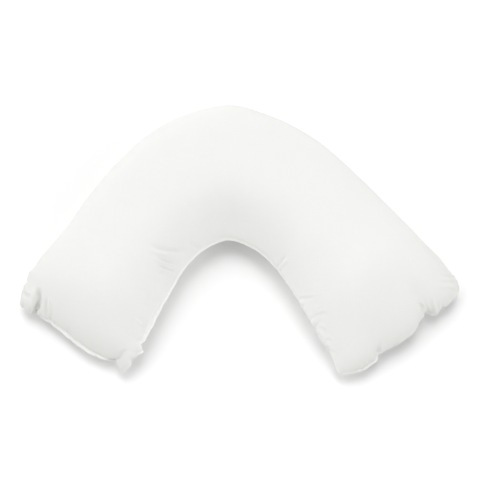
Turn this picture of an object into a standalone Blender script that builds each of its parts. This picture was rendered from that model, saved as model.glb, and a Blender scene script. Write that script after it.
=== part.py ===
"""V-shaped pillow: a filled white cotton cover of two panels, lying on its back with its arms towards -Y.

All sizes are millimetres, and MM turns them into Blender's metres. The point of the V lies towards +Y, X runs
from arm to arm, and Z is up from the surface that the pillow lies on.
"""

from collections import namedtuple

import bpy
import numpy as np

MM = 0.001
NAME = "pillow"

# Driving sizes
ARM_LENGTH = 1086.0  # along the middle of both arms, from end seam to end seam
SEAM_HEIGHT = 54.0  # of the seam over the surface, along the sides of the arms
END_HEIGHT = 32.0  # of the seam in the middle of an arm's end
EAR_DROP = 8.0  # the seam is this much lower at an end's corners
EAR_SHARPNESS = 4  # how closely that drop keeps to the corners
END_SLOPE = 170.0  # how far from an end the seam starts to go down
CROWN_RISE = 160.0  # how far from an end seam the top takes to reach its full height
FULLNESS = 0.86  # below 1, the arms' top is fuller than an elliptic arch
INNER_ANGLE = 42.0  # degrees at which the flatter arc of the arms' inner side leaves its seam
POINT_ANGLE = 70.0  # the same inside the point
POINT = 0.52  # place of the point of the V
POINT_SPREAD = 0.10  # over this share of the arms' length to either side
END_ANGLE = 60.0  # degrees at which the ends' arc leaves their seam
UNDER_RISE = 88.0  # how far from an end seam the underside takes to come down to the surface
UNDER_FLAT = 0.46  # share of the half width that lies flat on the surface
CORNER_POWER = 2.6  # above 2, the underside stays full into its corners
END_FADE = 120.0  # how far the outline of an end seam reaches into the arm
TOP_SWELL = 2.5  # the upper panel stands this far out over the seam
SWELL_AT = 0.94  # where each panel stands out most, from 0 in the middle to 1 at the seam
CORNER_BODY = 1.7  # how soon the upper panel's swell goes towards a corner
GATHER_FADE = 2.0  # a gather moves the seam over this many of its widths inwards
HOLLOW_START = 0.4  # hollows reach their whole depth at this share of the crown's height over the seam

# Mesh density
ACROSS = 28  # faces across each panel
END_ROWS = 22  # rows of faces in each end's rise
MIDDLE_ROWS = 56  # rows between the two rises

# Sections across the arms, from the left end to the right one: the outer and the inner seam point, the
# height of the crown over the seam, and how far the lower panel stands out under the seam at the outer and
# the inner side. Place is the share of the arms' length.
Section = namedtuple("Section", "place outer_x outer_y inner_x inner_y crown outer_swell inner_swell")
SECTIONS = (
    Section(0.000, -478, -138, -249, -291, 94, 1, 1),
    Section(0.022, -475, -100, -234, -282, 94, 1, 1),
    Section(0.070, -444, -56, -215, -237, 94, 2, 7),
    Section(0.140, -388, 13, -193, -190, 94, 2, 9),
    Section(0.220, -340, 89, -172, -152, 94, 2, 6),
    Section(0.310, -281, 171, -148, -107, 94, 2, 5),
    Section(0.400, -203, 250, -116, -54, 96, 2, 4),
    Section(0.470, -104, 303, -68, -10, 96, 2, 4),
    Section(0.520, -20, 320, -24, 5, 96, 2, 4),
    Section(0.570, 62, 296, 17, -8, 96, 2, 4),
    Section(0.640, 169, 235, 60, -40, 94, 2, 3),
    Section(0.730, 266, 142, 99, -94, 93, 2, 0),
    Section(0.820, 342, 57, 133, -151, 92, 2, 0),
    Section(0.900, 405, -12, 161, -203, 91, 2, 1),
    Section(0.960, 456, -61, 192, -253, 91, 2, 1),
    Section(1.000, 483, -105, 217, -297, 91, 2, 2),
)

# The end seams between the outer and the inner corner. Place is the share of the way across the arm, and
# swell is how far the lower panel stands out under the seam.
SeamPoint = namedtuple("SeamPoint", "place x y swell")
LEFT_END = (
    SeamPoint(0.08, -464, -158, 2),
    SeamPoint(0.22, -430, -171, 3),
    SeamPoint(0.36, -398, -189, 7),
    SeamPoint(0.50, -367, -212, 8),
    SeamPoint(0.65, -331, -239, 8),
    SeamPoint(0.80, -293, -259, 7),
    SeamPoint(0.89, -269, -268, 3),
    SeamPoint(0.96, -260, -286, 1),
)
RIGHT_END = (
    SeamPoint(0.05, 468, -129, 2),
    SeamPoint(0.12, 449, -148, 2),
    SeamPoint(0.22, 425, -165, 2),
    SeamPoint(0.34, 395, -175, 1),
    SeamPoint(0.43, 378, -204, 0),
    SeamPoint(0.55, 344, -229, 0),
    SeamPoint(0.66, 311, -245, 1),
    SeamPoint(0.76, 289, -266, 5),
    SeamPoint(0.84, 268, -283, 6),
    SeamPoint(0.93, 242, -292, 3),
)

# Gathers in the seam, each at its share of the way along one edge. Out moves the seam out into a little ear
# or lobe, and a negative one draws it in to a tuck, over about width. Sink presses the upper panel in by that
# much from there inwards over about reach, and a negative one raises it. Lean turns that fold from square to
# the edge, in degrees anticlockwise.
Gather = namedtuple("Gather", "edge place width out reach sink lean")
GATHERS = (
    Gather("outer", 0.000, 12, 4, 14, -3, 0),
    Gather("outer", 0.030, 5, -3, 16, 2, 0),
    Gather("outer", 0.048, 7, 3, 18, -2, 0),
    Gather("left", 0.132, 6, -11, 26, 8, -28),
    Gather("left", 0.280, 6, -3, 20, 4, -20),
    Gather("left", 0.890, 6, -3, 14, 2.5, 0),
    Gather("inner", 0.037, 6, -5, 12, 2, 0),
    Gather("inner", 0.062, 7, 8, 14, -1, 0),
    Gather("inner", 0.078, 5, -4, 12, 2, 0),
    Gather("inner", 0.893, 5, -7, 14, 3, 0),
    Gather("right", 0.140, 5, -4, 16, 3, 10),
    Gather("right", 0.278, 7, -13, 20, 6, 20),
    Gather("right", 0.705, 6, -6, 12, 2.5, 0),
)

# Soft hollows of the upper panel away from the seam. Each lies at x, y and runs along heading, in degrees
# from +X towards +Y.
Hollow = namedtuple("Hollow", "x y heading length width sink")
HOLLOWS = (
    Hollow(-32, 24, 90, 90, 110, 6),
)


def through(places, values, at):
    """A smooth curve through the values: a cubic between each two, with its neighbours' slope at each."""
    row = np.clip(np.searchsorted(places, at, side="right") - 1, 0, len(places) - 2)
    step = places[row + 1] - places[row]
    t = (at - places[row]) / step
    slopes = np.gradient(values, places, axis=0)
    if values.ndim > 1:
        step, t = step[..., None], t[..., None]
    start = (1 + 2 * t) * (1 - t) ** 2 * values[row] + t * (1 - t) ** 2 * step * slopes[row]
    end = t**2 * (3 - 2 * t) * values[row + 1] - t**2 * (1 - t) * step * slopes[row + 1]
    return start + end


def column(rows, *names):
    """One or more columns of a table as an array."""
    return np.array([[getattr(row, name) for name in names] for row in rows], float).squeeze()


def faded(distance, reach):
    """1 at a seam, and 0 from reach onwards."""
    return np.clip(1 - distance / reach, 0, 1) ** 2


def arc(x, angle):
    """A circular arc over its chord: 0 at x = 1, where it leaves the chord at that angle, and 1 at x = 0."""
    lean = np.radians(angle)
    return (np.sqrt(1 - (x * np.sin(lean)) ** 2) - np.cos(lean)) / (1 - np.cos(lean))


class Seam:
    """The closed seam seen from above, one smooth curve through the tables' rows, in four edges."""

    def __init__(self):
        outer = column(SECTIONS, "outer_x", "outer_y")
        right = column(RIGHT_END, "x", "y")
        inner = column(SECTIONS, "inner_x", "inner_y")
        left = column(LEFT_END, "x", "y")
        loop = np.concatenate([outer, right, inner[::-1], left[::-1]])
        spare = 4  # points run on past the start and the end, so that the curve closes smoothly
        self.points = np.concatenate([loop[-spare:], loop, loop[:spare]])
        steps = np.linalg.norm(np.diff(self.points, axis=0), axis=1)
        self.along = np.concatenate([[0.0], np.cumsum(steps)])
        corner = np.cumsum([spare, len(outer) - 1, len(right) + 1, len(inner) - 1, len(left) + 1])
        places = column(SECTIONS, "place")
        self.edges = {
            "outer": (places, self.along[corner[0] : corner[1] + 1]),
            "right": (self.end_places(RIGHT_END), self.along[corner[1] : corner[2] + 1]),
            "inner": (places, self.along[corner[2] : corner[3] + 1][::-1]),
            "left": (self.end_places(LEFT_END), self.along[corner[3] : corner[4] + 1][::-1]),
        }

    def end_places(self, rows):
        return np.concatenate([[0.0], column(rows, "place"), [1.0]])

    def edge(self, name, at):
        """Points of one of the four edges, at shares of its way."""
        places, along = self.edges[name]
        return through(self.along, self.points, through(places, along, at))

    def inward(self, name, at, lean):
        """A point of an edge and the direction into the pillow there, turned by lean."""
        places, along = self.edges[name]
        middle = through(places, along, np.array([at]))
        before, point, after = through(self.along, self.points, middle + np.array([-1.0, 0.0, 1.0]))
        run = (after - before) / np.linalg.norm(after - before)
        turn = np.radians(lean)
        square = np.array([run[1], -run[0]])  # the loop runs clockwise, so this points in
        return point, np.array(
            [
                square[0] * np.cos(turn) - square[1] * np.sin(turn),
                square[0] * np.sin(turn) + square[1] * np.cos(turn),
            ]
        )


def rows_along():
    """Each station's distance from its nearest end seam, and its share of the arms' length."""
    rise = CROWN_RISE * (1 - np.cos(np.linspace(0, np.pi / 2, END_ROWS + 1)))
    middle = np.linspace(CROWN_RISE, ARM_LENGTH - CROWN_RISE, MIDDLE_ROWS + 1)[1:-1]
    along = np.concatenate([rise, middle, ARM_LENGTH - rise[::-1]])
    return np.minimum(along, ARM_LENGTH - along), along / ARM_LENGTH


def unit(vectors):
    return vectors / np.maximum(np.linalg.norm(vectors, axis=-1, keepdims=True), 1e-9)


class Pillow:
    """The two panels on one grid: stations along the arms by points across them."""

    def __init__(self):
        distance, place = rows_along()
        turn = np.linspace(0, np.pi, ACROSS + 1)
        share = (1 - np.cos(turn)) / 2
        self.seam = Seam()
        self.distance, self.place, self.share = distance[:, None], place[:, None], share[None]
        self.arch = self.arched(np.sin(turn)[None])
        self.base = self.between_seams(place, share)
        self.outward = self.outward_from_middle()
        self.draw_in()

    def arched(self, level):
        """The top's height over its seam, up to 1: a full arch on the outer side of the arm and a flatter
        one on its slack inner side, times the arc that rises from each end."""
        from_end = np.clip(1 - self.distance / CROWN_RISE, 0, 1)
        from_middle = 2 * self.share - 1
        at_point = np.exp(-(((self.place - POINT) / POINT_SPREAD) ** 2))
        inner = arc(from_middle, INNER_ANGLE + (POINT_ANGLE - INNER_ANGLE) * at_point)
        return arc(from_end, END_ANGLE) * np.where(from_middle > 0, inner, level**FULLNESS)

    def between_seams(self, place, share):
        """Straight from the outer seam to the inner one, bent near each end to follow that end's seam."""
        outer, inner = self.seam.edge("outer", place)[:, None], self.seam.edge("inner", place)[:, None]
        across = share[None, :, None]
        base = outer * (1 - across) + inner * across
        for edge, row, side in (("left", 0, place < 0.5), ("right", -1, place > 0.5)):
            bend = self.seam.edge(edge, share)[None] - base[row][None]
            base = base + bend * (faded(self.distance[:, 0], END_FADE) * side)[:, None, None]
        return base

    def seam_height(self):
        """Level along the sides, lower towards the ends, and lowest at their corners."""
        end = faded(self.distance, END_SLOPE)
        corner = np.abs(2 * self.share - 1) ** EAR_SHARPNESS
        return SEAM_HEIGHT - end * (SEAM_HEIGHT - END_HEIGHT + EAR_DROP * corner)

    def nearness(self):
        """To a side, to an end, and to the seam from both: 0 over the flat part, 1 at the seam."""
        side = np.clip((np.abs(2 * self.share - 1) - UNDER_FLAT) / (1 - UNDER_FLAT), 0, 1)
        end = np.clip(1 - self.distance / UNDER_RISE, 0, 1)
        both = (side**CORNER_POWER + end**CORNER_POWER) ** (1 / CORNER_POWER)
        return side, end, np.clip(both, 0, 1)

    def outward_from_middle(self):
        """Level unit vectors that point out over the nearest seam."""
        across = unit(np.gradient(self.base, axis=1)) * np.sign(self.share - 0.5)[..., None]
        along = unit(np.gradient(self.base, axis=0)) * np.sign(self.place - 0.5)[..., None]
        side, end, _ = self.nearness()
        return unit(across * (side**2)[..., None] + along * (end**2)[..., None])

    def draw_in(self):
        """Moves the base in or out at every gather, and keeps how far each sinks the upper panel."""
        self.sink = np.zeros(self.base.shape[:2])
        shift = np.zeros(self.base.shape)
        for gather in GATHERS:
            point, inward = self.seam.inward(gather.edge, gather.place, gather.lean)
            away = self.base - point
            run = away @ inward
            off = away @ np.array([-inward[1], inward[0]])
            fold = np.exp(-((off / gather.width) ** 2))
            fade = np.exp(-((run / (GATHER_FADE * gather.width)) ** 2))
            shift -= (gather.out * fold * fade)[..., None] * inward
            self.sink += gather.sink * fold * np.exp(-((run / gather.reach) ** 2))
        self.base = self.base + shift

    def swell(self, most):
        """How far a panel stands out beyond the seam: nothing at the seam itself, and most at SWELL_AT."""
        sharpness = np.log(0.5) / np.log(SWELL_AT)
        return self.outward * (most * np.sin(np.pi * self.nearness()[2] ** sharpness))[..., None]

    def upper(self):
        """The upper panel: the arch over the seam, with its gathers and hollows pressed in."""
        crown = through(column(SECTIONS, "place"), column(SECTIONS, "crown"), self.place)
        side, end, _ = self.nearness()
        swell = self.swell(TOP_SWELL * np.clip(1 - CORNER_BODY * side * end, 0, 1))
        top = np.dstack([self.base + swell, self.seam_height() + crown * self.arch])
        sink = self.sink.copy()
        for hollow in HOLLOWS:
            heading = np.radians(hollow.heading)
            x, y = self.base[..., 0] - hollow.x, self.base[..., 1] - hollow.y
            run = (x * np.cos(heading) + y * np.sin(heading)) / (hollow.length / 2)
            off = (y * np.cos(heading) - x * np.sin(heading)) / (hollow.width / 2)
            sink += hollow.sink * np.exp(-(run**2) - off**2)
        up = unit(np.cross(np.gradient(top, axis=1), np.gradient(top, axis=0)))
        return top - up * (sink * np.minimum(1, self.arch / HOLLOW_START))[..., None]

    def lower(self):
        """The lower panel: it curves down from the seam and lies flat at 0 in the middle."""
        side, end, nearness = self.nearness()
        places = column(SECTIONS, "place")
        outer = np.interp(self.place, places, column(SECTIONS, "outer_swell"))
        inner = np.interp(self.place, places, column(SECTIONS, "inner_swell"))
        left = np.interp(self.share, column(LEFT_END, "place"), column(LEFT_END, "swell"))
        right = np.interp(self.share, column(RIGHT_END, "place"), column(RIGHT_END, "swell"))
        at_side = np.where(self.share < 0.5, outer, inner)
        at_end = np.where(self.place < 0.5, left, right)
        most = (at_side * side + at_end * end) / np.maximum(side + end, 1e-6)
        height = self.seam_height() * (1 - np.sqrt(1 - nearness**2))
        return np.dstack([self.base + self.swell(most), height])


def over_origin(points):
    """The points moved level, so that the middle of their box is over the origin."""
    middle = (points.min(axis=0) + points.max(axis=0)) / 2
    return points - [middle[0], middle[1], 0]


def closed_mesh(upper, lower):
    """One mesh of both panels, which share the vertices of the seam. Its faces look outwards."""
    rows, columns = upper.shape[:2]
    inside = np.zeros((rows, columns), bool)
    inside[1:-1, 1:-1] = True
    top = np.arange(rows * columns).reshape(rows, columns)
    under = top.copy()
    under[inside] = rows * columns + np.arange(inside.sum())
    points = over_origin(np.concatenate([upper.reshape(-1, 3), lower[inside]])) * MM

    def quads(index):
        corners = index[:-1, :-1], index[1:, :-1], index[1:, 1:], index[:-1, 1:]
        return np.stack(corners, axis=-1).reshape(-1, 4)

    faces = np.concatenate([quads(top)[:, ::-1], quads(under)])
    mesh = bpy.data.meshes.new(NAME)
    mesh.from_pydata(points.tolist(), [], faces.tolist())
    mesh.shade_smooth()
    return mesh


def cotton():
    """Plain white woven cotton, matt."""
    material = bpy.data.materials.new("white_cotton")
    material.use_nodes = True
    shader = material.node_tree.nodes["Principled BSDF"]
    shader.inputs["Base Color"].default_value = (0.86, 0.86, 0.84, 1)
    shader.inputs["Roughness"].default_value = 0.9
    shader.inputs["Metallic"].default_value = 0.0
    return material


def main():
    for old in list(bpy.data.objects):
        bpy.data.objects.remove(old, do_unlink=True)
    pillow = Pillow()
    mesh = closed_mesh(pillow.upper(), pillow.lower())
    mesh.materials.append(cotton())
    bpy.context.scene.collection.objects.link(bpy.data.objects.new(NAME, mesh))


main()
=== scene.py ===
from collections import namedtuple

import bpy
import numpy as np
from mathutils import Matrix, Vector


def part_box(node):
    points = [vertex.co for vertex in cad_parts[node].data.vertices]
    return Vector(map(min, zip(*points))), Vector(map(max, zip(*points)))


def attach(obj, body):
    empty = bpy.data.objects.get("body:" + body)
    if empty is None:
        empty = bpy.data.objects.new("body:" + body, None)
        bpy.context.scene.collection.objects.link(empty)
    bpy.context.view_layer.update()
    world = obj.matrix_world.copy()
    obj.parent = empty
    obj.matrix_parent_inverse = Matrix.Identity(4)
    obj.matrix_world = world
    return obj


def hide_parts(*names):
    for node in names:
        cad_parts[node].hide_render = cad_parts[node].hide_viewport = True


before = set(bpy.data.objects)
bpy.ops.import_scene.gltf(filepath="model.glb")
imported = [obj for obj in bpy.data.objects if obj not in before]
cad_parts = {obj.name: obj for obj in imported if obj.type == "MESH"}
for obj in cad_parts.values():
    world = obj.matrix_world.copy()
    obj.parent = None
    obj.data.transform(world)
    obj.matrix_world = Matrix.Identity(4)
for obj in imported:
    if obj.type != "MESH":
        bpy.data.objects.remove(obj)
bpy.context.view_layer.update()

# The looks of a filled V-shaped pillow in plain white cotton. The point of the V lies towards +Y, X runs
# from arm to arm, and Z is up from the floor. Shapes are in millimetres, and MM turns them into metres.

MM = 0.001
NODE = "pillow"

# The pillow's driving sizes
ARM_LENGTH = 1086.0  # along the middle of both arms, from end seam to end seam
SEAM_HEIGHT = 54.0  # of the seam over the floor, along the sides of the arms
END_HEIGHT = 32.0  # of the seam in the middle of an arm's end
EAR_DROP = 8.0  # the seam is this much lower at an end's corners
EAR_SHARPNESS = 4  # how closely that drop keeps to the corners
END_SLOPE = 170.0  # how far from an end the seam starts to go down
CROWN_RISE = 160.0  # how far from an end seam the top takes to reach its full height
FULLNESS = 0.86  # below 1, the arms' top is fuller than an elliptic arch
INNER_ANGLE = 36.0  # degrees at which the flatter arc of the arms' inner side leaves its seam
POINT_ANGLE = 62.0  # the same inside the point
POINT_SPREAD = 0.10  # over this share of the arms' length to either side
END_ANGLE = 60.0  # degrees at which the ends' arc leaves their seam
UNDER_RISE = 88.0  # how far from an end seam the underside takes to come down to the floor
UNDER_FLAT = 0.46  # share of the half width that lies flat on the floor
CORNER_POWER = 2.6  # above 2, the underside stays full into its corners
POINT = 0.52  # place of the point of the V
END_FADE = 120.0  # how far the outline of an end seam reaches into the arm
TOP_SWELL = 3.0  # the upper panel stands this far out over the seam
TOP_YIELD = 0.45  # and less by this share of how far the lower one stands out there
SWELL_AT = 0.94  # where it stands out most, from 0 in the middle to 1 at the seam
CORNER_BODY = 1.7  # how soon that swell goes towards a corner
ROLL_AT = 0.22  # where the lower panel stands out most, as a share of the seam's height below the seam
ROLL_POWER = 9.0  # the roll keeps close to the seam into the corners
ROLL_VARIES = 0.12  # it stands out unevenly, by this share to either side of its mean
ROLL_WAVE = 21.0  # mean length from one fuller stretch to the next
ROLL_DRIFT = 2.0  # radians that those stretches drift by, forwards and back
ROLL_DRIFT_WAVE = 53.0  # over this length of the seam
GATHER_FADE = 2.0  # a gather moves the seam over this many of its widths inwards
HOLLOW_START = 0.4  # hollows reach their whole depth at this share of the crown's height over the seam
CREASE_LIP_AT = 1.9  # a crease's ridge lies this many widths beside it
CREASE_FADE = 1.6  # how sharply a crease ends
PUCKER_FADE = 0.02  # share of an edge over which a gathered stretch starts

# Sections across the arms, from the left end to the right one: the outer and the inner seam point, the
# height of the crown over the seam, and how far the lower panel stands out under the seam at the outer
# and the inner side. Place is the share of the arms' length.
Section = namedtuple("Section", "place outer_x outer_y inner_x inner_y crown outer_swell inner_swell")
SECTIONS = (
    Section(0.000, -478, -138, -249, -291, 94, 1, 1),
    Section(0.022, -475, -100, -234, -282, 94, 1, 1),
    Section(0.070, -444, -56, -215, -237, 94, 2, 7),
    Section(0.140, -388, 13, -193, -190, 94, 2, 9),
    Section(0.220, -340, 89, -172, -152, 94, 2, 6),
    Section(0.310, -281, 171, -148, -107, 94, 2, 5),
    Section(0.400, -203, 250, -116, -54, 96, 2, 4),
    Section(0.470, -104, 303, -68, -10, 96, 2, 4),
    Section(0.520, -20, 320, -24, 5, 96, 2, 4),
    Section(0.570, 62, 296, 17, -8, 96, 2, 4),
    Section(0.640, 169, 235, 60, -40, 94, 2, 3),
    Section(0.730, 266, 142, 99, -94, 93, 2, 0),
    Section(0.820, 342, 57, 133, -151, 92, 2, 0),
    Section(0.900, 405, -12, 161, -203, 91, 2, 1),
    Section(0.960, 456, -61, 192, -253, 91, 2, 1),
    Section(1.000, 483, -105, 217, -297, 91, 2, 2),
)

# The end seams between the outer and the inner corner. Place is the share of the way across the arm, and
# swell is how far the lower panel stands out under the seam.
SeamPoint = namedtuple("SeamPoint", "place x y swell")
LEFT_END = (
    SeamPoint(0.08, -464, -158, 2),
    SeamPoint(0.22, -430, -171, 3),
    SeamPoint(0.36, -398, -189, 7),
    SeamPoint(0.50, -367, -212, 8),
    SeamPoint(0.65, -331, -239, 8),
    SeamPoint(0.80, -293, -259, 7),
    SeamPoint(0.89, -269, -268, 3),
    SeamPoint(0.96, -260, -286, 1),
)
RIGHT_END = (
    SeamPoint(0.05, 468, -129, 2),
    SeamPoint(0.12, 449, -148, 2),
    SeamPoint(0.22, 425, -165, 2),
    SeamPoint(0.34, 395, -175, 1),
    SeamPoint(0.43, 378, -204, 0),
    SeamPoint(0.55, 344, -229, 0),
    SeamPoint(0.66, 311, -245, 1),
    SeamPoint(0.76, 289, -266, 5),
    SeamPoint(0.84, 268, -283, 6),
    SeamPoint(0.93, 242, -292, 3),
)

# Gathers in the seam, each at its share of the way along one edge. Out moves the seam out into a little
# ear or lobe, and a negative one draws it in to a tuck, over about width. Sink presses the upper panel in
# by that much from there inwards over about reach, and a negative one raises it. Lean turns that fold
# from square to the edge, in degrees anticlockwise.
Gather = namedtuple("Gather", "edge place width out reach sink lean")
GATHERS = (
    Gather("outer", 0.000, 12, 4, 14, -3, 0),
    Gather("outer", 0.030, 5, -3, 16, 2, 0),
    Gather("outer", 0.048, 7, 3, 18, -2, 0),
    Gather("left", 0.132, 6, -11, 26, 8, -28),
    Gather("left", 0.280, 6, -3, 20, 4, -20),
    Gather("left", 0.890, 6, -3, 14, 2.5, 0),
    Gather("inner", 0.037, 6, -5, 12, 2, 0),
    Gather("inner", 0.062, 7, 8, 14, -1, 0),
    Gather("inner", 0.078, 5, -4, 12, 2, 0),
    Gather("inner", 0.893, 5, -7, 14, 3, 0),
    Gather("right", 0.140, 5, -4, 16, 3, 10),
    Gather("right", 0.278, 7, -13, 20, 6, 20),
    Gather("right", 0.705, 6, -6, 12, 2.5, 0),
)

# Soft hollows of the upper panel away from the seam. Each lies at x, y and runs along heading, in degrees
# from +X towards +Y.
Hollow = namedtuple("Hollow", "x y heading length width sink")
HOLLOWS = (
    Hollow(-32, 24, 90, 90, 110, 6),
)

# Narrow creases of the upper panel, from one point to another. Bow bends a crease to its left by that
# much in the middle. Sink is its depth, and lip the height of the ridge to its left.
Crease = namedtuple("Crease", "from_x from_y to_x to_y bow width sink lip")
CREASES = (
    # The left arm's inner side
    Crease(-118, -32, -192, -42, 5, 4.6, 4.0, 2.2),
    Crease(-131, -61, -182, -58, 3, 4.2, 3.8, 2.1),
    Crease(-140, -76, -181, -73, 2, 4.0, 3.4, 1.9),
    Crease(-84, -21, -112, -20, -2, 3.0, 2.2, 1.1),
    Crease(-193, -192, -220, -184, 2, 3.0, 2.1, 1.3),
    # Right of the point
    Crease(99, -50, 77, -66, 0, 3.4, 2.6, 3.0),
    # The right arm's inner side
    Crease(124, -133, 160, -142, -2, 3.0, 1.3, 0.8),
    Crease(152, -181, 184, -178, 3, 3.0, 2.0, 1.2),
    Crease(156, -172, 174, -167, 0, 2.6, 1.2, 0.7),
    Crease(166, -202, 182, -212, 3, 3.0, 2.2, 1.4),
    Crease(180, -226, 196, -231, 2, 3.0, 1.5, 0.9),
    Crease(190, -244, 204, -251, -2, 3.0, 1.4, 0.9),
    # The right outer corner
    Crease(434, -89, 474, -83, 2, 2.8, 1.6, 0.9),
    Crease(434, -105, 478, -95, 3, 2.8, 1.8, 1.0),
    Crease(432, -119, 476, -111, 3, 2.8, 1.6, 0.9),
    Crease(410, -139, 419, -163, 0, 3.2, 3.2, 2.0),
    Crease(426, -141, 431, -157, 0, 3.0, 2.5, 1.6),
    Crease(383, -149, 399, -167, 2, 3.4, 4.0, 2.2),
    # The right end seam
    Crease(300, -229, 296, -253, -4, 3.2, 2.2, 1.4),
    # The left outer corner
    Crease(-449, -163, -434, -117, -5, 6.0, 10.5, 4.4),
    Crease(-416, -135, -421, -171, 2, 4.0, 4.0, 2.4),
    Crease(-366, -195, -374, -213, 0, 3.2, 1.6, 1.0),
    Crease(-474, -101, -458, -130, -6, 4.0, 6.0, 3.0),
    # The left inner corner
    Crease(-262, -271, -240, -249, 3, 3.6, 2.6, 1.4),
)

# Stretches of the seam that the stitching gathers into small lobes. Each goes from start to end along one
# edge, with lobes that are pitch long, stand out by depth and go into the panels over reach.
Pucker = namedtuple("Pucker", "edge start end pitch depth reach")
PUCKERS = (
    Pucker("left", 0.00, 0.40, 17, 3.0, 12),
    Pucker("left", 0.40, 0.88, 11, 1.9, 12),
    Pucker("right", 0.00, 0.30, 15, 2.4, 12),
    Pucker("right", 0.32, 0.68, 24, 1.4, 14),
    Pucker("right", 0.72, 1.00, 12, 2.4, 12),
    Pucker("outer", 0.00, 0.09, 15, 2.6, 14),
    Pucker("outer", 0.11, 0.50, 23, 0.7, 12),
    Pucker("outer", 0.53, 0.67, 17, 1.8, 22),
    Pucker("outer", 0.69, 0.91, 19, 0.7, 12),
    Pucker("outer", 0.92, 1.00, 14, 2.6, 16),
    Pucker("inner", 0.09, 0.16, 21, 0.5, 14),
    Pucker("inner", 0.17, 0.52, 23, 0.3, 12),
    Pucker("inner", 0.54, 0.77, 21, 0.35, 12),
    Pucker("inner", 0.79, 1.00, 13, 2.1, 15),
)

# Lobes lie unevenly and differ in height, in waves along the seam. Size is how much a wave does, and
# lobes how many lobes long it is.
Wave = namedtuple("Wave", "size lobes")
SLOW_DRIFT = Wave(1.1, 5.3)  # radians that the lobes' phase drifts by
FAST_DRIFT = Wave(0.7, 3.1)
LOBE_VARIES = Wave(0.3, 4.3)  # share of a lobe's height
LOBE_ROUNDNESS = 0.8  # below 1, lobes are broad on top and narrow in between
LOBE_INSET = 0.5  # share of a lobe's height that it goes in by, between two crests

# The seam
GROOVE_DEPTH = 2.6  # how far the stitching draws the cloth in
GROOVE_WIDTH = 3.0  # over which the cloth comes out again, on each panel
PUCKER_RELIEF = 0.8  # how far a lobe stands up from its panel, by how far it stands out
HIGHLIGHT_REACH = 15.0  # a painted highlight whitens the lower panel's cloth this far under the seam
HIGHLIGHT_WHOLE_AT = 5.0  # it shows whole where the lower panel stands out this far
SHADE_REACH = 35.0  # painted shade greys the white over about this much beside the outer edge and the ends
BODY = 16.0  # creases and lobes have their whole height where the pillow is at least this thick


def through(places, values, at):
    """A smooth curve through the values, cubic in between, each slope taken from the neighbours."""
    row = np.clip(np.searchsorted(places, at, side="right") - 1, 0, len(places) - 2)
    step = places[row + 1] - places[row]
    t = (at - places[row]) / step
    slopes = np.gradient(values, places, axis=0)
    more = (...,) + (None,) * (values.ndim - 1)
    step, t = step[more], t[more]
    start = (1 + 2 * t) * (1 - t) ** 2 * values[row] + t * (1 - t) ** 2 * step * slopes[row]
    end = t**2 * (3 - 2 * t) * values[row + 1] - t**2 * (1 - t) * step * slopes[row + 1]
    return start + end


def column(rows, *names):
    """One or more columns of a table as an array."""
    return np.array([[getattr(row, name) for name in names] for row in rows], float).squeeze()


def faded(distance, reach):
    """1 at a seam, and 0 from reach onwards."""
    return np.clip(1 - distance / reach, 0, 1) ** 2


def arc(x, angle):
    """A circular arc over x from -1 to 1, leaving its chord at that angle. It rises to 1 in the middle."""
    lean = np.radians(angle)
    return (np.sqrt(1 - (x * np.sin(lean)) ** 2) - np.cos(lean)) / (1 - np.cos(lean))


def unit(vectors):
    """The vectors' directions, each of length 1."""
    return vectors / np.maximum(np.linalg.norm(vectors, axis=-1, keepdims=True), 1e-9)


def drift(wave, phase, start=0.0):
    """What a wave does at that phase, which turns once for each lobe."""
    return wave.size * np.sin(phase / wave.lobes + start)


def lobes(phase, start):
    """Rounded, uneven lobes, one for each turn of the phase. Start tells stretches apart."""
    uneven = phase / 2 + drift(SLOW_DRIFT, phase, start) + drift(FAST_DRIFT, phase)
    height = 1 - LOBE_VARIES.size + drift(LOBE_VARIES, phase)
    return np.abs(np.sin(uneven)) ** LOBE_ROUNDNESS * height - LOBE_INSET


class Seam:
    """The seam from above: one closed smooth curve through the tables' rows, split into four edges."""

    def __init__(self):
        outer = column(SECTIONS, "outer_x", "outer_y")
        right = column(RIGHT_END, "x", "y")
        inner = column(SECTIONS, "inner_x", "inner_y")
        left = column(LEFT_END, "x", "y")
        loop = np.concatenate([outer, right, inner[::-1], left[::-1]])
        spare = 4  # points run on past the start and the end, so that the curve closes smoothly
        self.points = np.concatenate([loop[-spare:], loop, loop[:spare]])
        steps = np.linalg.norm(np.diff(self.points, axis=0), axis=1)
        self.along = np.concatenate([[0.0], np.cumsum(steps)])
        corner = np.cumsum([spare, len(outer) - 1, len(right) + 1, len(inner) - 1, len(left) + 1])
        places = column(SECTIONS, "place")
        self.edges = {
            "outer": (places, self.along[corner[0] : corner[1] + 1]),
            "right": (self.end_places(RIGHT_END), self.along[corner[1] : corner[2] + 1]),
            "inner": (places, self.along[corner[2] : corner[3] + 1][::-1]),
            "left": (self.end_places(LEFT_END), self.along[corner[3] : corner[4] + 1][::-1]),
        }

    def end_places(self, rows):
        """An end table's places, with its two corners."""
        return np.concatenate([[0.0], column(rows, "place"), [1.0]])

    def edge(self, name, at):
        """Points of one of the four edges, at shares of its way."""
        places, along = self.edges[name]
        return through(self.along, self.points, through(places, along, at))

    def inward(self, name, at, lean):
        """A point of an edge and the direction into the pillow there, turned by lean."""
        places, along = self.edges[name]
        middle = through(places, along, np.array([at]))
        before, point, after = through(self.along, self.points, middle + np.array([-1.0, 0.0, 1.0]))
        run = unit(after - before)
        square = np.array([run[1], -run[0]])  # the loop runs clockwise, so this points in
        return point, turned(square, lean)


def turned(direction, degrees):
    """A level direction turned anticlockwise."""
    turn = np.radians(degrees)
    x, y = direction
    return np.array([x * np.cos(turn) - y * np.sin(turn), x * np.sin(turn) + y * np.cos(turn)])


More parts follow.
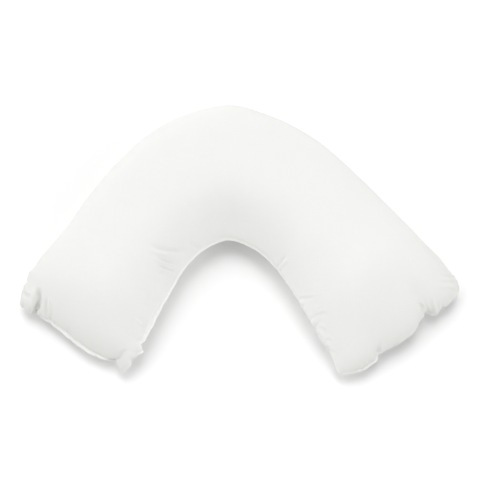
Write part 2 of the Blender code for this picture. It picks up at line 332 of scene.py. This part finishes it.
class Grid:
    """Stations along the arms by points across them, close together near the seams."""

    def __init__(self, across, end_rows, middle_rows):
        rise = CROWN_RISE * (1 - np.cos(np.linspace(0, np.pi / 2, end_rows + 1)))
        middle = np.linspace(CROWN_RISE, ARM_LENGTH - CROWN_RISE, middle_rows + 1)[1:-1]
        along = np.concatenate([rise, middle, ARM_LENGTH - rise[::-1]])
        self.distance = np.minimum(along, ARM_LENGTH - along)
        self.place = along / ARM_LENGTH
        self.turn = np.linspace(0, np.pi, across + 1)
        self.share = (1 - np.cos(self.turn)) / 2


class Cover:
    """The two panels on one grid."""

    def __init__(self, grid):
        self.grid = grid
        self.seam = Seam()
        self.distance = grid.distance[:, None]
        self.place = grid.place[:, None]
        self.share = grid.share[None]
        from_end = np.clip(1 - self.distance / CROWN_RISE, 0, 1)
        from_middle = 2 * self.share - 1
        at_point = np.exp(-(((self.place - POINT) / POINT_SPREAD) ** 2))
        inner = arc(from_middle, INNER_ANGLE + (POINT_ANGLE - INNER_ANGLE) * at_point)
        full = np.sin(grid.turn) ** FULLNESS
        self.arch = arc(from_end, END_ANGLE) * np.where(from_middle > 0, inner, full)
        self.base = self.between_seams(grid.place, grid.share)
        self.outward = self.outward_from_middle()
        self.draw_in()

    def between_seams(self, place, share):
        """Straight from the outer seam to the inner one, bent near each end to follow that end's seam."""
        outer, inner = self.seam.edge("outer", place)[:, None], self.seam.edge("inner", place)[:, None]
        across = share[None, :, None]
        base = outer * (1 - across) + inner * across
        for edge, row, side in (("left", 0, place < 0.5), ("right", -1, place > 0.5)):
            bend = self.seam.edge(edge, share)[None] - base[row][None]
            base = base + bend * (faded(self.grid.distance, END_FADE) * side)[:, None, None]
        return base

    def seam_height(self):
        """Level along the sides, lower towards the ends, and lowest at their corners."""
        end = faded(self.distance, END_SLOPE)
        corner = np.abs(2 * self.share - 1) ** EAR_SHARPNESS
        return SEAM_HEIGHT - end * (SEAM_HEIGHT - END_HEIGHT + EAR_DROP * corner)

    def nearness(self, power=CORNER_POWER):
        """How near a point is to a side, to an end and to the seam: 0 over the flat part, 1 at the seam."""
        side = np.clip((np.abs(2 * self.share - 1) - UNDER_FLAT) / (1 - UNDER_FLAT), 0, 1)
        end = np.clip(1 - self.distance / UNDER_RISE, 0, 1)
        return side, end, np.clip((side**power + end**power) ** (1 / power), 0, 1)

    def outward_from_middle(self):
        """Level unit vectors that point out over the nearest seam."""
        across = unit(np.gradient(self.base, axis=1)) * np.sign(self.share - 0.5)[..., None]
        along = unit(np.gradient(self.base, axis=0)) * np.sign(self.place - 0.5)[..., None]
        side, end, _ = self.nearness()
        return unit(across * (side**2)[..., None] + along * (end**2)[..., None])

    def draw_in(self):
        """Moves the base in or out at every gather, and keeps how far each sinks the upper panel."""
        self.sink = np.zeros(self.base.shape[:2])
        shift = np.zeros(self.base.shape)
        for gather in GATHERS:
            point, inward = self.seam.inward(gather.edge, gather.place, gather.lean)
            away = self.base - point
            run = away @ inward
            off = away @ turned(inward, 90)
            fold = np.exp(-((off / gather.width) ** 2))
            fade = np.exp(-((run / (GATHER_FADE * gather.width)) ** 2))
            shift -= (gather.out * fold * fade)[..., None] * inward
            self.sink += gather.sink * fold * np.exp(-((run / gather.reach) ** 2))
        self.base = self.base + shift

    def swell(self, most):
        """How far the upper panel stands out beyond the seam: nothing at the seam itself and in the
        corners, and most at SWELL_AT."""
        side, end, nearness = self.nearness()
        body = np.clip(1 - CORNER_BODY * side * end, 0, 1)
        sharpness = np.log(0.5) / np.log(SWELL_AT)
        return self.outward * (most * body * np.sin(np.pi * nearness**sharpness))[..., None]

    def roll(self, most):
        """How far the lower panel stands out beyond the seam: it rolls out from there, more here and less
        there, and stands out most where it has come down by ROLL_AT of the seam's height."""
        down = np.sqrt(1 - self.nearness(ROLL_POWER)[2] ** 2)
        sharpness = np.log(0.5) / np.log(ROLL_AT)
        along = 2 * np.pi * self.along_seam(self.base)[..., 0]
        wave = np.sin(along / ROLL_WAVE + ROLL_DRIFT * np.sin(along / ROLL_DRIFT_WAVE))
        uneven = 1 - ROLL_VARIES + ROLL_VARIES * wave
        return self.outward * (most * uneven * np.sin(np.pi * down**sharpness))[..., None]

    def upper(self):
        """The upper panel: an arch across the arm that also rises from each end."""
        crown = through(column(SECTIONS, "place"), column(SECTIONS, "crown"), self.place)
        swell = self.swell(np.clip(TOP_SWELL - TOP_YIELD * self.standing_out(), 0, None))
        return np.dstack([self.base + swell, self.seam_height() + crown * self.arch])

    def hollows(self):
        """How far gathers and soft hollows sink the upper panel: Gaussian bumps of level distances."""
        sink = self.sink.copy()
        for hollow in HOLLOWS:
            heading = np.radians(hollow.heading)
            x, y = self.base[..., 0] - hollow.x, self.base[..., 1] - hollow.y
            run = (x * np.cos(heading) + y * np.sin(heading)) / (hollow.length / 2)
            off = (y * np.cos(heading) - x * np.sin(heading)) / (hollow.width / 2)
            sink += hollow.sink * np.exp(-(run**2) - off**2)
        return sink * np.minimum(1, self.arch / HOLLOW_START)

    def creases(self):
        """How far the creases sink the upper panel: a Gaussian trough beside a Gaussian ridge, across a
        line that bows, and both fade towards its ends."""
        sink = np.zeros(self.base.shape[:2])
        for crease in CREASES:
            start = np.array([crease.from_x, crease.from_y])
            way = np.array([crease.to_x, crease.to_y]) - start
            half = np.linalg.norm(way) / 2
            way = way / (2 * half)
            away = self.base - start
            run = away @ way / half - 1
            off = (away @ turned(way, 90) - crease.bow * np.clip(1 - run**2, 0, 1)) / crease.width
            trough = np.exp(-(off**2))
            ridge = np.exp(-((off - CREASE_LIP_AT) ** 2))
            sink += (crease.sink * trough - crease.lip * ridge) * np.exp(-(run**4) * CREASE_FADE)
        return sink

    def level(self, amount):
        """A level move out over the nearest seam by that amount."""
        return np.dstack([self.outward * amount[..., None], np.zeros(amount.shape)])

    def puckers(self, panel):
        """How far the gathered stretches of the seam stand out: lobes along the seam, of irregular
        length, that fade into the panel with the distance along its cloth."""
        raised = np.zeros(panel.shape[:2])
        girth, length = lengths(panel, 1), lengths(panel, 0)
        sides = {
            "outer": (self.place, lengths(panel[:, :1], 0), girth),
            "inner": (self.place, lengths(panel[:, -1:], 0), girth[:, -1:] - girth),
            "left": (self.share, lengths(panel[:1], 1), length),
            "right": (self.share, lengths(panel[-1:], 1), length[-1:] - length),
        }
        for pucker in PUCKERS:
            place, along, distance = sides[pucker.edge]
            lobe = lobes(2 * np.pi * along / pucker.pitch, pucker.pitch)
            starts = np.clip((place - pucker.start) / PUCKER_FADE, 0, 1)
            ends = np.clip((pucker.end - place) / PUCKER_FADE, 0, 1)
            raised += pucker.depth * lobe * starts * ends * np.exp(-((distance / pucker.reach) ** 2))
        return raised

    def groove(self, panel):
        """How far the stitching draws a panel in: a Gaussian of the distance from the seam."""
        return GROOVE_DEPTH * np.exp(-((self.along_seam(panel)[..., 1] / GROOVE_WIDTH) ** 2))

    def along_seam(self, panel):
        """Each point's length along its nearest stretch of the seam, and its distance from there."""
        girth, length = lengths(panel, 1), lengths(panel, 0)
        distances = np.stack([girth, girth[:, -1:] - girth, length, length[-1:] - length])
        near = distances.argmin(axis=0)
        sides = length[:, :1], length[:, -1:], girth[:1], girth[-1:]
        along = np.choose(near, [np.broadcast_to(side, near.shape) for side in sides])
        return np.dstack([along, distances.min(axis=0)])

    def freedom(self, panel):
        """How much of the cloth step's move a point takes: none at the seam, most from SEAM_HOLD on."""
        return 1 - np.exp(-((self.along_seam(panel)[..., 1:] / SEAM_HOLD) ** 2))

    def standing_out(self):
        """How far the lower panel stands out at the nearest seam, passing smoothly from sides to ends."""
        side, end, _ = self.nearness()
        places = column(SECTIONS, "place")
        outer = np.interp(self.place, places, column(SECTIONS, "outer_swell"))
        inner = np.interp(self.place, places, column(SECTIONS, "inner_swell"))
        left = np.interp(self.share, column(LEFT_END, "place"), column(LEFT_END, "swell"))
        right = np.interp(self.share, column(RIGHT_END, "place"), column(RIGHT_END, "swell"))
        at_side = np.where(self.share < 0.5, outer, inner)
        at_end = np.where(self.place < 0.5, left, right)
        return (at_side * side + at_end * end) / np.maximum(side + end, 1e-6)

    def painted_highlight(self, panel):
        """How much a painted highlight whitens the lower panel under the seam: 1 near the seam and 0 from
        its reach onwards, by how far the lower panel stands out."""
        near = np.clip(2 - 2 * self.along_seam(panel)[..., 1] / HIGHLIGHT_REACH, 0, 1)
        return near * np.clip(self.standing_out() / HIGHLIGHT_WHOLE_AT, 0, 1)

    def painted_shade(self, panel):
        """How much painted shade greys the cloth: it fades exponentially from the outer edge and the ends.
        """
        length = lengths(panel, 0)
        edge = np.minimum(lengths(panel, 1), np.minimum(length, length[-1:] - length))
        return np.exp(-edge / SHADE_REACH)

    def lower(self):
        """The lower panel: it curves down from the seam and lies flat at 0 in the middle."""
        nearness = self.nearness()[2]
        height = self.seam_height() * (1 - np.sqrt(1 - nearness**2))
        return np.dstack([self.base + self.roll(self.standing_out()), height])


def normals(panel):
    """Unit normals of the upper panel, pointing up and out. On the lower one they point in."""
    return unit(np.cross(np.gradient(panel, axis=1), np.gradient(panel, axis=0)))


def lengths(panel, axis):
    """How far each point of a panel is along one of its directions, by the cloth."""
    steps = np.linalg.norm(np.diff(panel, axis=axis), axis=2)
    start = np.zeros_like(np.take(steps, [0], axis))
    return np.concatenate([start, np.cumsum(steps, axis=axis)], axis=axis)


# The cut of a panel before it is filled
END_EASE = 30.0  # the cut is this much wider at the arm's ends than its seam is after gathering
UNDER_CUT = 900.0  # the lower panel is cut from the cloth this far beside the upper one


def flat_cut(cover, panel):
    """Where the panel's points lie in the flat cut: as far apart across the arm as on the filled panel,
    wider at the ends by END_EASE, and each end as much longer as the filled one curves down."""
    outer, inner = cover.base[:, 0], cover.base[:, -1]
    middle = (outer + inner) / 2
    across = unit(inner - outer)
    girth = lengths(panel, 1)
    width = girth[:, -1]
    share = girth / girth[:, -1:]
    end = faded(cover.grid.distance, CROWN_RISE)
    width = np.maximum(width, np.minimum(np.median(width), width + END_EASE * end))
    ridge = lengths(panel, 0)[:, panel.shape[1] // 2]
    flat = np.concatenate([[0.0], np.cumsum(np.linalg.norm(np.diff(middle, axis=0), axis=1))])
    longer = ridge - flat
    longer = longer - longer[len(longer) // 2]
    middle = middle + unit(np.gradient(middle, axis=0)) * longer[:, None]
    return middle[:, None] + across[:, None] * ((share - 0.5) * width[:, None])[..., None]


# The cloth step
CLOTH_ACROSS = 44
CLOTH_END_ROWS = 18
CLOTH_MIDDLE_ROWS = 104
CLOTH_FRAMES = 24
MOST_MOVE = 10.0  # cap on how far the cloth may carry a point, in millimetres
CALM_ROUNDS = 3  # how often its moves are averaged with their neighbours
SEAM_HOLD = 45.0  # this close to the seam the stitching holds the cloth back


def shared_index(rows, columns):
    """The vertex numbers of the upper and the lower grid, which share the seam's, and what is inside."""
    inside = np.zeros((rows, columns), bool)
    inside[1:-1, 1:-1] = True
    upper = np.arange(rows * columns).reshape(rows, columns)
    lower = upper.copy()
    lower[inside] = rows * columns + np.arange(inside.sum())
    return upper, lower, inside


def quads(index):
    """The four vertex numbers of each face of a grid."""
    corners = index[:-1, :-1], index[1:, :-1], index[1:, 1:], index[:-1, 1:]
    return np.stack(corners, axis=-1).reshape(-1, 4)


def add_map(mesh, name, upper, lower):
    """A UV map from two values for each point of either panel."""
    order = quads(np.arange(upper.shape[0] * upper.shape[1]).reshape(upper.shape[:2]))
    corners = np.concatenate([upper.reshape(-1, 2)[order[:, ::-1]], lower.reshape(-1, 2)[order]])
    layer = mesh.uv_layers.new(name=name)
    layer.uv.foreach_set("vector", corners.astype(np.float32).ravel())


def panel_mesh(name, upper, lower):
    """One closed mesh of both panels, its faces looking outwards."""
    top, under, inside = shared_index(*upper.shape[:2])
    points = np.concatenate([upper.reshape(-1, 3), lower[inside]]) * MM
    faces = np.concatenate([quads(top)[:, ::-1], quads(under)])
    mesh = bpy.data.meshes.new(name)
    mesh.vertices.add(len(points))
    mesh.vertices.foreach_set("co", points.astype(np.float32).ravel())
    mesh.loops.add(faces.size)
    mesh.loops.foreach_set("vertex_index", faces.astype(np.int32).ravel())
    mesh.polygons.add(len(faces))
    mesh.polygons.foreach_set("loop_start", np.arange(0, faces.size, 4, dtype=np.int32))
    mesh.update(calc_edges=True)
    mesh.shade_smooth()
    return mesh


def blown_up(cover, upper, lower):
    """How far the cloth carries each point of the two panels, when they are cut flat, their seam is held
    where the gathered seam is, and the filling presses them out from inside."""
    top, under, inside = shared_index(*upper.shape[:2])
    piece = bpy.data.objects.new("cloth", panel_mesh("cloth", upper, lower))
    bpy.context.scene.collection.objects.link(piece)
    cut_upper, cut_lower = flat_cut(cover, upper), flat_cut(cover, lower)
    cut = np.where(inside[..., None], cut_upper, (cut_upper + cut_lower) / 2)
    cut = np.concatenate([cut.reshape(-1, 2), cut_lower[inside]])
    cut = np.column_stack([cut, np.zeros(len(cut))]) * MM
    piece.shape_key_add(name="filled")
    flat = piece.shape_key_add(name="flat cut", from_mix=False)
    flat.data.foreach_set("co", cut.astype(np.float32).ravel())
    flat.value = 0
    held = piece.vertex_groups.new(name="seam")
    held.add(top[~inside].tolist(), 1.0, "REPLACE")
    modifier = piece.modifiers.new("filling", "CLOTH")
    cloth = modifier.settings
    cloth.quality = 5
    cloth.mass = 0.15
    cloth.tension_stiffness = 20
    cloth.compression_stiffness = 20
    cloth.shear_stiffness = 10
    cloth.bending_stiffness = 0.3
    cloth.tension_damping = cloth.compression_damping = cloth.shear_damping = 10
    cloth.bending_damping = 0.5
    cloth.air_damping = 2
    cloth.use_pressure = True
    cloth.uniform_pressure_force = 4
    cloth.vertex_group_mass = held.name
    cloth.rest_shape_key = flat
    cloth.effector_weights.gravity = 0
    modifier.collision_settings.use_collision = False
    modifier.point_cache.frame_end = CLOTH_FRAMES
    for frame_number in range(1, CLOTH_FRAMES + 1):
        bpy.context.scene.frame_set(frame_number)
    settled = piece.evaluated_get(bpy.context.evaluated_depsgraph_get()).to_mesh()
    points = np.empty(len(settled.vertices) * 3, np.float32)
    settled.vertices.foreach_get("co", points)
    points = points.reshape(-1, 3).astype(float) / MM
    bpy.data.objects.remove(piece)
    bpy.context.scene.frame_set(1)
    return calmed(capped(points[top] - upper)), calmed(capped(points[under] - lower))


def capped(moves):
    """The same moves, none longer than MOST_MOVE."""
    sizes = np.linalg.norm(moves, axis=2, keepdims=True)
    return moves * np.minimum(1, MOST_MOVE / np.maximum(sizes, 1e-6))


def calmed(moves):
    """The same moves without the coarse mesh's own ripples: each is averaged with its neighbours' along
    the arms and then across, CALM_ROUNDS times over."""
    for _ in range(CALM_ROUNDS):
        framed = np.pad(moves, ((1, 1), (0, 0), (0, 0)), mode="edge")
        moves = (framed[:-2] + 2 * moves + framed[2:]) / 4
        framed = np.pad(moves, ((0, 0), (1, 1), (0, 0)), mode="edge")
        moves = (framed[:, :-2] + 2 * moves + framed[:, 2:]) / 4
    return moves


def finer(coarse, grid, values):
    """Values on a coarse grid carried to a finer one by smooth curves, along the arms and then across."""
    along = through(coarse.place, values, grid.place)
    return through(coarse.turn, along.swapaxes(0, 1), grid.turn).swapaxes(0, 1)


# The finished cover's fine grid
FINE_ACROSS = 130
FINE_END_ROWS = 64
FINE_MIDDLE_ROWS = 236


def over_frame(upper, lower):
    """How far the tables' shapes are moved level, to lie over the CAD node's box."""
    points = np.concatenate([upper.reshape(-1, 3), lower.reshape(-1, 3)])
    low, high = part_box(NODE)
    middle = (points.min(axis=0) + points.max(axis=0)) / 2
    return np.array([(low.x + high.x) / 2 / MM - middle[0], (low.y + high.y) / 2 / MM - middle[1], 0])


def filled(cover):
    """Both panels as the cloth step leaves them."""
    upper, lower = cover.upper(), cover.lower()
    coarse = Cover(Grid(CLOTH_ACROSS, CLOTH_END_ROWS, CLOTH_MIDDLE_ROWS))
    above, below = blown_up(coarse, coarse.upper(), coarse.lower())
    upper = upper + finer(coarse.grid, cover.grid, above) * cover.freedom(upper)
    lower = lower + finer(coarse.grid, cover.grid, below) * cover.freedom(lower)
    return upper, lower


def sewn(cover, upper, lower):
    """Both panels with their hollows, creases and puckers and the seam's groove. What stands up from a
    panel is lower where the pillow is thin."""
    body = np.clip((upper - lower)[..., 2] / BODY, 0, 1)
    upper = upper - normals(upper) * (body * cover.hollows())[..., None]
    lobes_above, lobes_below = cover.puckers(upper), cover.puckers(lower)
    relief_above = body * (PUCKER_RELIEF * lobes_above - cover.creases())
    relief_below = body * PUCKER_RELIEF * lobes_below
    out_above = cover.level(lobes_above - cover.groove(upper))
    out_below = cover.level(lobes_below - cover.groove(lower))
    upper = upper + normals(upper) * relief_above[..., None] + out_above
    lower = lower - normals(lower) * relief_below[..., None] + out_below
    lower[..., 2] = np.maximum(lower[..., 2], 0)
    return upper, lower


def add_maps(mesh, cover, upper, lower):
    """What the material reads: the place in the flat cut, the length along the seam and the distance from
    it, and how much painted highlight and painted shade the cloth takes."""
    beside = np.array([0.0, UNDER_CUT])
    add_map(mesh, "cut", flat_cut(cover, upper) * MM, (flat_cut(cover, lower) + beside) * MM)
    add_map(mesh, "seam", cover.along_seam(upper) * MM, cover.along_seam(lower) * MM)
    shade_above, shade_below = cover.painted_shade(upper), cover.painted_shade(lower)
    unhighlighted = np.zeros_like(shade_above)
    shades_above = np.dstack([unhighlighted, shade_above])
    shades_below = np.dstack([cover.painted_highlight(lower), shade_below])
    add_map(mesh, "shades", shades_above, shades_below)


def make_cover():
    """The filled cover on its fine grid, over the CAD node's box."""
    cover = Cover(Grid(FINE_ACROSS, FINE_END_ROWS, FINE_MIDDLE_ROWS))
    shift = over_frame(cover.upper(), cover.lower())
    upper, lower = sewn(cover, *filled(cover))
    mesh = panel_mesh("filled_cover", upper + shift, lower + shift)
    add_maps(mesh, cover, upper, lower)
    piece = bpy.data.objects.new("filled_cover", mesh)
    bpy.context.scene.collection.objects.link(piece)
    return piece


# The cotton: a plain weave of slightly uneven yarns, its lengths in millimetres
YARN = 0.6  # from one yarn to the next
YARN_HEIGHT = 0.03
SLUB = (60.0, 1.4)  # length and width of the thick places in the yarns
SLUB_HEIGHT = 0.05
DENT = (24.0, 24.0)  # size of the soft dents that handling leaves
DENT_HEIGHT = 0.7
PATCH = (90.0, 90.0)  # size of the cleaner and duller patches
PATCH_SHARE = 0.6  # how much they count, where the slubs count 1
STITCH = 3.2  # from one stitch to the next
STITCH_REACH = 4.0  # how far from the seam the stitches' pulls show
STITCH_HEIGHT = 0.12
DULL_WHITE = (0.823, 0.827, 0.802, 1)
CLEAN_WHITE = (0.863, 0.867, 0.848, 1)
# painted highlight on the lower panel's rolled strip under the seam
HIGHLIGHT_WHITE = (0.94, 0.937, 0.918, 1)
# painted shade beside the outer edge and the ends
SHADED_WHITE = (0.725, 0.729, 0.703, 1)
ROUGHNESS = 0.84
SLUB_ROUGHNESS = 0.12  # added on the slubs
SPECULAR = 0.35
SHEEN = 0.06
SHEEN_ROUGHNESS = 0.6


def add_node(tree, kind, inputs, settings=None, output=0):
    """The output of a new node, whose inputs are given as values or as the outputs of other nodes."""
    node = tree.nodes.new(kind)
    for name, setting in (settings or {}).items():
        setattr(node, name, setting)
    for name, given in inputs.items():
        if isinstance(given, bpy.types.NodeSocket):
            tree.links.new(given, node.inputs[name])
        else:
            node.inputs[name].default_value = given
    return node.outputs[output]


def calculated(tree, operation, *values):
    """A sum, product or other function of numbers or of the outputs of nodes."""
    return add_node(tree, "ShaderNodeMath", dict(enumerate(values)), {"operation": operation})


def calculated_vector(tree, operation, *values):
    """The same for vectors."""
    return add_node(tree, "ShaderNodeVectorMath", dict(enumerate(values)), {"operation": operation})


def noise(tree, position, size, detail):
    """Smooth noise from 0 to 1 whose features have these sizes along the cut's two directions."""
    steps = (1 / (size[0] * MM), 1 / (size[1] * MM), 1.0)
    place = calculated_vector(tree, "MULTIPLY", position, steps)
    return add_node(tree, "ShaderNodeTexNoise", {"Vector": place, "Scale": 1.0, "Detail": detail})


def weave(tree, cut):
    """Rounded yarns along both directions of the cut, and a checker says which of the two lies on top."""
    yarns = calculated_vector(tree, "MULTIPLY", cut, (1 / (YARN * MM), 1 / (YARN * MM), 0.0))
    turns = calculated_vector(tree, "MULTIPLY", yarns, (np.pi, np.pi, 0.0))
    waves = calculated_vector(tree, "ABSOLUTE", calculated_vector(tree, "SINE", turns))
    warp = add_node(tree, "ShaderNodeSeparateXYZ", {0: waves})
    weft = add_node(tree, "ShaderNodeSeparateXYZ", {0: waves}, output=1)
    on_top = add_node(tree, "ShaderNodeTexChecker", {"Vector": yarns, "Scale": 1.0}, output=1)
    return add_node(tree, "ShaderNodeMix", {0: on_top, 2: warp, 3: weft})


def pulls(tree, along, distance):
    """Short ridges between the stitches, square to the seam, that fade exponentially away from it."""
    turn = calculated(tree, "MULTIPLY", along, np.pi / (STITCH * MM))
    ridges = calculated(tree, "ABSOLUTE", calculated(tree, "SINE", turn))
    fade = calculated(tree, "EXPONENT", calculated(tree, "MULTIPLY", distance, -1 / (STITCH_REACH * MM)))
    return calculated(tree, "MULTIPLY", ridges, fade)


def parted(tree, name):
    """The two values of a UV map."""
    uv = add_node(tree, "ShaderNodeUVMap", {}, {"uv_map": name})
    first = add_node(tree, "ShaderNodeSeparateXYZ", {0: uv})
    second = add_node(tree, "ShaderNodeSeparateXYZ", {0: uv}, output=1)
    return first, second


def mixed(tree, share, colour, other):
    """One colour where the share is 0, and the other where it is 1."""
    inputs = {0: share, 6: colour, 7: other}
    return add_node(tree, "ShaderNodeMix", inputs, {"data_type": "RGBA"}, output=2)


def cotton_relief(tree, cut, slubs):
    """A bump from weave, slubs, soft dents and the stitches' pulls, their heights in millimetres."""
    along, distance = parted(tree, "seam")
    dents = noise(tree, cut, DENT, detail=2.0)
    relief = calculated(tree, "MULTIPLY", weave(tree, cut), YARN_HEIGHT)
    relief = calculated(tree, "MULTIPLY_ADD", slubs, SLUB_HEIGHT, relief)
    relief = calculated(tree, "MULTIPLY_ADD", dents, DENT_HEIGHT, relief)
    relief = calculated(tree, "MULTIPLY_ADD", pulls(tree, along, distance), STITCH_HEIGHT, relief)
    return add_node(tree, "ShaderNodeBump", {"Height": relief, "Distance": MM, "Strength": 1.0})


def cotton_white(tree, cut, slubs):
    """A slightly patchy white, greyed by painted shade near the edges and whitened by a painted highlight
    under the seam.
    """
    highlight_share, painted_shade = parted(tree, "shades")
    patches = calculated(tree, "MULTIPLY", noise(tree, cut, PATCH, detail=3.0), PATCH_SHARE)
    clean = calculated(tree, "ADD", patches, slubs)
    white = mixed(tree, clean, DULL_WHITE, CLEAN_WHITE)
    white = mixed(tree, painted_shade, white, SHADED_WHITE)
    return mixed(tree, highlight_share, white, HIGHLIGHT_WHITE)


def white_cotton():
    """Plain-woven white cotton with thick places, or slubs, in its yarns."""
    material = bpy.data.materials.new("white_cotton")
    material.use_nodes = True
    tree = material.node_tree
    shader = tree.nodes["Principled BSDF"]
    cut = add_node(tree, "ShaderNodeUVMap", {}, {"uv_map": "cut"})
    warp_slubs = noise(tree, cut, SLUB, detail=1.0)
    weft_slubs = noise(tree, cut, SLUB[::-1], detail=1.0)
    slubs = calculated(tree, "MULTIPLY", warp_slubs, weft_slubs)
    rough = calculated(tree, "MULTIPLY_ADD", slubs, SLUB_ROUGHNESS, ROUGHNESS)
    tree.links.new(cotton_white(tree, cut, slubs), shader.inputs["Base Color"])
    tree.links.new(rough, shader.inputs["Roughness"])
    tree.links.new(cotton_relief(tree, cut, slubs), shader.inputs["Normal"])
    shader.inputs["Specular IOR Level"].default_value = SPECULAR
    shader.inputs["Sheen Weight"].default_value = SHEEN
    shader.inputs["Sheen Roughness"].default_value = SHEEN_ROUGHNESS
    return material


# Camera: the photographed view, over the open side of the V
VIEW_ELEVATION = 70.0  # degrees over the floor
LENS = 85.0
SENSOR = 36.0
MM_PER_PIXEL = 2.2  # at the point it aims at
PICTURE = 480  # pixels, across and down
AIM = (-0.42, -13.7, 60.0)


def make_camera():
    """A camera as far from its aim as gives the picture's scale there."""
    data = bpy.data.cameras.new("camera")
    data.lens = LENS
    data.sensor_width = SENSOR
    camera = bpy.data.objects.new("camera", data)
    turn = np.radians(VIEW_ELEVATION)
    distance = PICTURE * MM_PER_PIXEL * LENS / SENSOR * MM
    camera.location = Vector(AIM) * MM + distance * Vector((0, -np.cos(turn), np.sin(turn)))
    camera.rotation_euler = (np.pi / 2 - turn, 0, 0)
    bpy.context.scene.collection.objects.link(camera)
    bpy.context.scene.camera = camera


# The floor
FLOOR_SIZE = 12.0  # metres along each side
FLOOR_WHITE = (0.99, 0.99, 0.99, 1)


def make_floor():
    """The pale surface that the pillow lies on."""
    mesh = bpy.data.meshes.new("floor")
    half = FLOOR_SIZE / 2
    corners = [(-half, -half, 0), (half, -half, 0), (half, half, 0), (-half, half, 0)]
    mesh.from_pydata(corners, [], [(0, 1, 2, 3)])
    material = bpy.data.materials.new("floor_white")
    material.use_nodes = True
    shader = material.node_tree.nodes["Principled BSDF"]
    shader.inputs["Base Color"].default_value = FLOOR_WHITE
    shader.inputs["Roughness"].default_value = 1.0
    shader.inputs["Specular IOR Level"].default_value = 0.0
    mesh.materials.append(material)
    floor = bpy.data.objects.new("floor", mesh)
    bpy.context.scene.collection.objects.link(floor)


# A sky that is white at the horizon and dim overhead, and broad soft lights from far away, so that the
# floor is lit evenly. Each comes from a direction given as degrees clockwise from +Y and degrees above
# the floor, and spread is how wide it looks from the pillow, in degrees. The low ones brighten the
# pillow's sides and hardly reach the floor.
SKY = 0.4  # strength just above the horizon
SKY_FALL = 3.0  # how fast it dims towards overhead
HORIZON_BAND = 0.06  # height, as a sine, over which the horizon's white passes into the sky
SoftLight = namedtuple("SoftLight", "name side_angle elevation spread strength")
SOFT_LIGHTS = (
    SoftLight("rear_high", 0, 70, 30, 0.80),
    SoftLight("rear", 0, 45, 40, 0.95),
    SoftLight("rear_left", -45, 45, 40, 0.58),
    SoftLight("left", -90, 45, 40, 0.60),
    SoftLight("right", 90, 45, 40, 0.50),
    SoftLight("front_low", 180, 18, 30, 0.88),
    SoftLight("front_right_low", 130, 18, 30, 0.50),
    SoftLight("left_low", -90, 18, 30, 0.42),
    SoftLight("right_low", 85, 18, 30, 0.35),
)


def make_sky():
    """A white sky. Its strength is SKY times (1 - height) to the power SKY_FALL, plus a band that brings
    it to 1 at the horizon and below."""
    world = bpy.data.worlds.new("studio")
    world.use_nodes = True
    tree = world.node_tree
    direction = add_node(tree, "ShaderNodeTexCoord", {})
    height = add_node(tree, "ShaderNodeSeparateXYZ", {0: direction}, output=2)
    below_top = add_node(tree, "ShaderNodeMapRange", {0: height, 3: 1.0, 4: 0.0})
    band = add_node(tree, "ShaderNodeMapRange", {0: height, 2: HORIZON_BAND, 3: 1 - SKY, 4: 0.0})
    strength = calculated(tree, "MULTIPLY_ADD", calculated(tree, "POWER", below_top, SKY_FALL), SKY, band)
    sky = tree.nodes["Background"]
    sky.inputs["Color"].default_value = (1, 1, 1, 1)
    tree.links.new(strength, sky.inputs["Strength"])
    bpy.context.scene.world = world


def make_light():
    """The sky and the soft lights, with the colours shown as they are."""
    make_sky()
    for soft in SOFT_LIGHTS:
        data = bpy.data.lights.new(soft.name, "SUN")
        data.angle = np.radians(soft.spread)
        data.energy = soft.strength
        side, up = np.radians(soft.side_angle), np.radians(soft.elevation)
        direction = Vector((np.sin(side) * np.cos(up), np.cos(side) * np.cos(up), np.sin(up)))
        light = bpy.data.objects.new(soft.name, data)
        light.location = direction
        light.rotation_euler = direction.to_track_quat("Z", "Y").to_euler()
        bpy.context.scene.collection.objects.link(light)
    bpy.context.scene.view_settings.view_transform = "Standard"


make_camera()
make_floor()
make_light()
pillow = make_cover()
pillow.data.materials.append(white_cotton())
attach(pillow, "root")
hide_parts(NODE)
